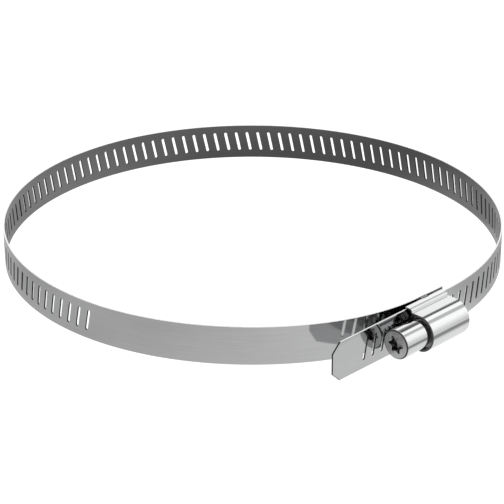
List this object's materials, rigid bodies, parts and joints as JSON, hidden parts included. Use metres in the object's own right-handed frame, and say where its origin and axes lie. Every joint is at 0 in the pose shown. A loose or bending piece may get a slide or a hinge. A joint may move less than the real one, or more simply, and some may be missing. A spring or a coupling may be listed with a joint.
{
  "type": "worm-drive hose clamp",
  "caption": "Worm-drive hose clamp: a slotted steel band loop that a screw in a small housing draws closed round a hose.",
  "frame": {"origin": "on the axis of the hose bore, at half the band's width", "axes": "+Z along the hose, +X along the screw away from its head, housing on the -Y side"},
  "size_m": [0.165, 0.1772, 0.014],
  "materials": {
    "band_steel": "bright rolled stainless strip with a faint lengthwise grain",
    "housing_steel": "bright pressed stainless sheet",
    "screw_steel": "bright turned steel, fine rings on the head's face"
  },
  "bodies": {
    "clamp_base": {"housing": "housing_steel", "band_fixed_half": "band_steel"},
    "band_loop": {"band_free_half": "band_steel"},
    "band_end": {"band_tail": "band_steel"},
    "screw": {"worm_screw": "screw_steel"}
  },
  "joints": [
    {"name": "screw_turn", "type": "hinge", "parent": "clamp_base", "child": "screw", "pos_m": [-0.01, -0.08932, 0], "axis": [1, 0, 0], "range_deg": [-360, 1080]},
    {"name": "loop_close", "type": "hinge", "parent": "clamp_base", "child": "band_loop", "pos_m": [0.00655, 0.08139, 0], "axis": [0, 0, -1], "range_deg": [-1.5, 4.5]},
    {"name": "loop_feed", "type": "hinge", "parent": "band_loop", "child": "band_end", "pos_m": [0.01285, -0.08316, 0], "axis": [0, 0, 1], "range_deg": [-1.5, 4.5]}
  ],
  "couplings": [
    {"joint": "loop_close", "follows": "screw_turn", "ratio": 0.003869},
    {"joint": "loop_feed", "follows": "screw_turn", "ratio": 0.003869}
  ]
}
